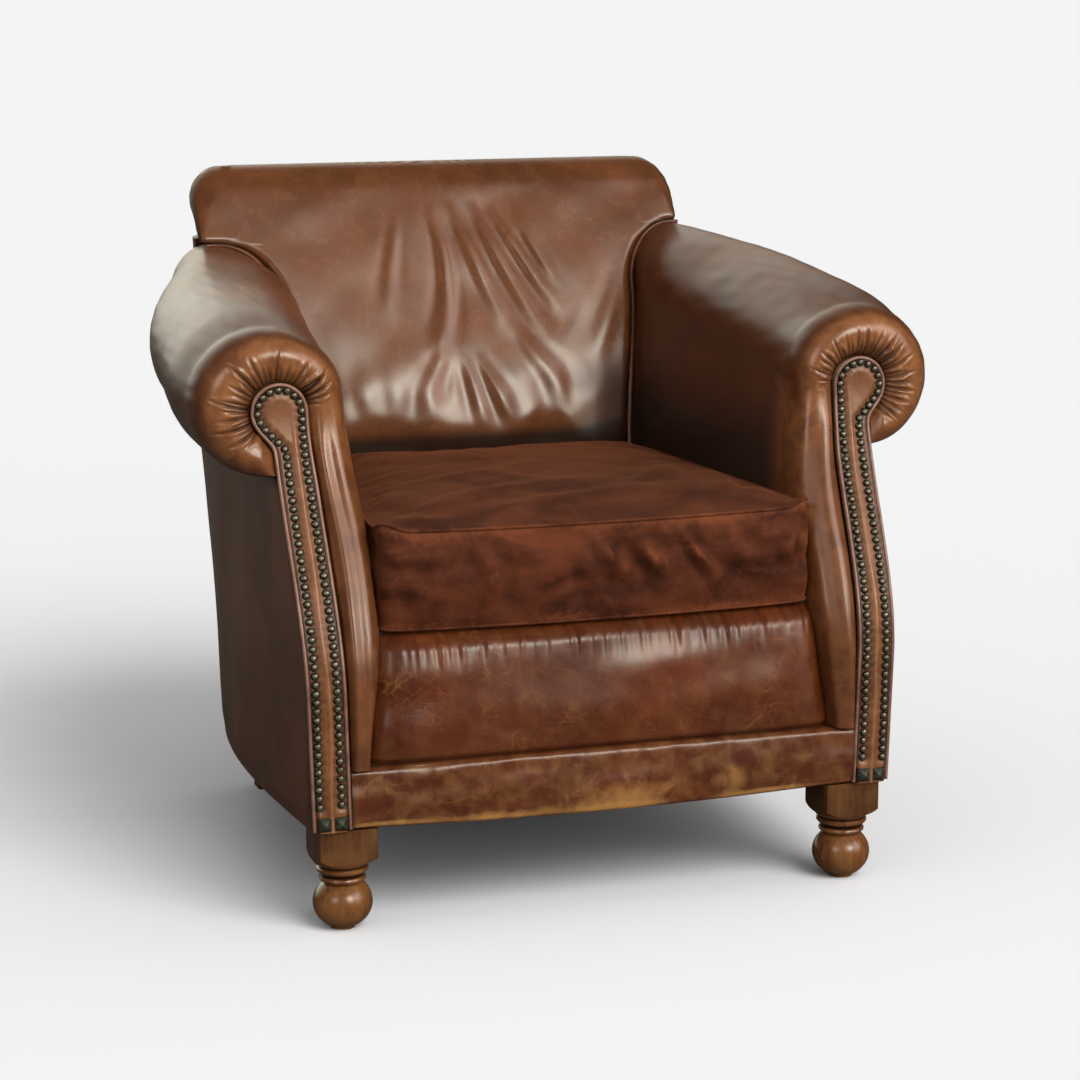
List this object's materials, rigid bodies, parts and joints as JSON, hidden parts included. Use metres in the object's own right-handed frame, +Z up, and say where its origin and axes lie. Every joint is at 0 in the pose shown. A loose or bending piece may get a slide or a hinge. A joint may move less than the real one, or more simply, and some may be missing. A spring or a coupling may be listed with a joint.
{
  "type": "club armchair",
  "caption": "Worn leather club chair with rolled scroll arms, pleated arm fronts, nailed facings, a loose seat cushion and turned front feet.",
  "frame": {"origin": "on the floor, under the middle of the chair's box", "axes": "+Z up, -Y towards the chair's front, +X towards its right-hand side as seen from the front, which is also its mirror direction"},
  "size_m": [0.894, 0.7274, 0.7965],
  "materials": {
    "waxed_leather": "waxed tan leather, creased, scuffed and rubbed shiny",
    "dark_leather": "darker outside leather, plain and satin",
    "napped_leather": "cushion leather worn to a matt nap",
    "antique_brass": "dull antique finish on domed nails",
    "polished_beech": "stained and polished turned wood",
    "plain_beech": "plain sawn frame wood",
    "jute_webbing": "woven jute",
    "black_cloth": "thin woven lining cloth"
  },
  "bodies": {
    "root": {"arm_left": "waxed_leather", "outside_arm_left": "dark_leather", "facing_panel_left": "waxed_leather", "facing_piping_left": "waxed_leather", "nail_trim_left": "antique_brass", "corner_studs_left": "antique_brass", "back_piping_left": "waxed_leather", "front_foot_left": "polished_beech", "back_post_left": "plain_beech", "front_post_left": "plain_beech", "base_rail_left": "plain_beech", "arm_rail_left": "plain_beech", "seat_side_rail_left": "plain_beech", "corner_block_front_left": "plain_beech", "corner_block_rear_left": "plain_beech", "arm_right": "waxed_leather", "outside_arm_right": "dark_leather", "facing_panel_right": "waxed_leather", "facing_piping_right": "waxed_leather", "nail_trim_right": "antique_brass", "corner_studs_right": "antique_brass", "back_piping_right": "waxed_leather", "front_foot_right": "polished_beech", "back_post_right": "plain_beech", "front_post_right": "plain_beech", "base_rail_right": "plain_beech", "arm_rail_right": "plain_beech", "seat_side_rail_right": "plain_beech", "corner_block_front_right": "plain_beech", "corner_block_rear_right": "plain_beech", "outside_back": "dark_leather", "inside_back": "waxed_leather", "seat_cushion": "napped_leather", "front_border": "waxed_leather", "front_band": "waxed_leather", "front_rail": "plain_beech", "rear_rail": "plain_beech", "back_top_rail": "plain_beech", "back_lower_rail": "plain_beech", "seat_strap_long_1": "jute_webbing", "seat_strap_long_2": "jute_webbing", "seat_strap_long_3": "jute_webbing", "seat_strap_long_4": "jute_webbing", "seat_strap_long_5": "jute_webbing", "seat_strap_cross_1": "jute_webbing", "seat_strap_cross_2": "jute_webbing", "seat_strap_cross_3": "jute_webbing", "seat_strap_cross_4": "jute_webbing", "back_strap_1": "jute_webbing", "back_strap_2": "jute_webbing", "back_strap_3": "jute_webbing", "seat_deck": "jute_webbing", "dust_cover": "black_cloth"}
  },
  "joints": []
}
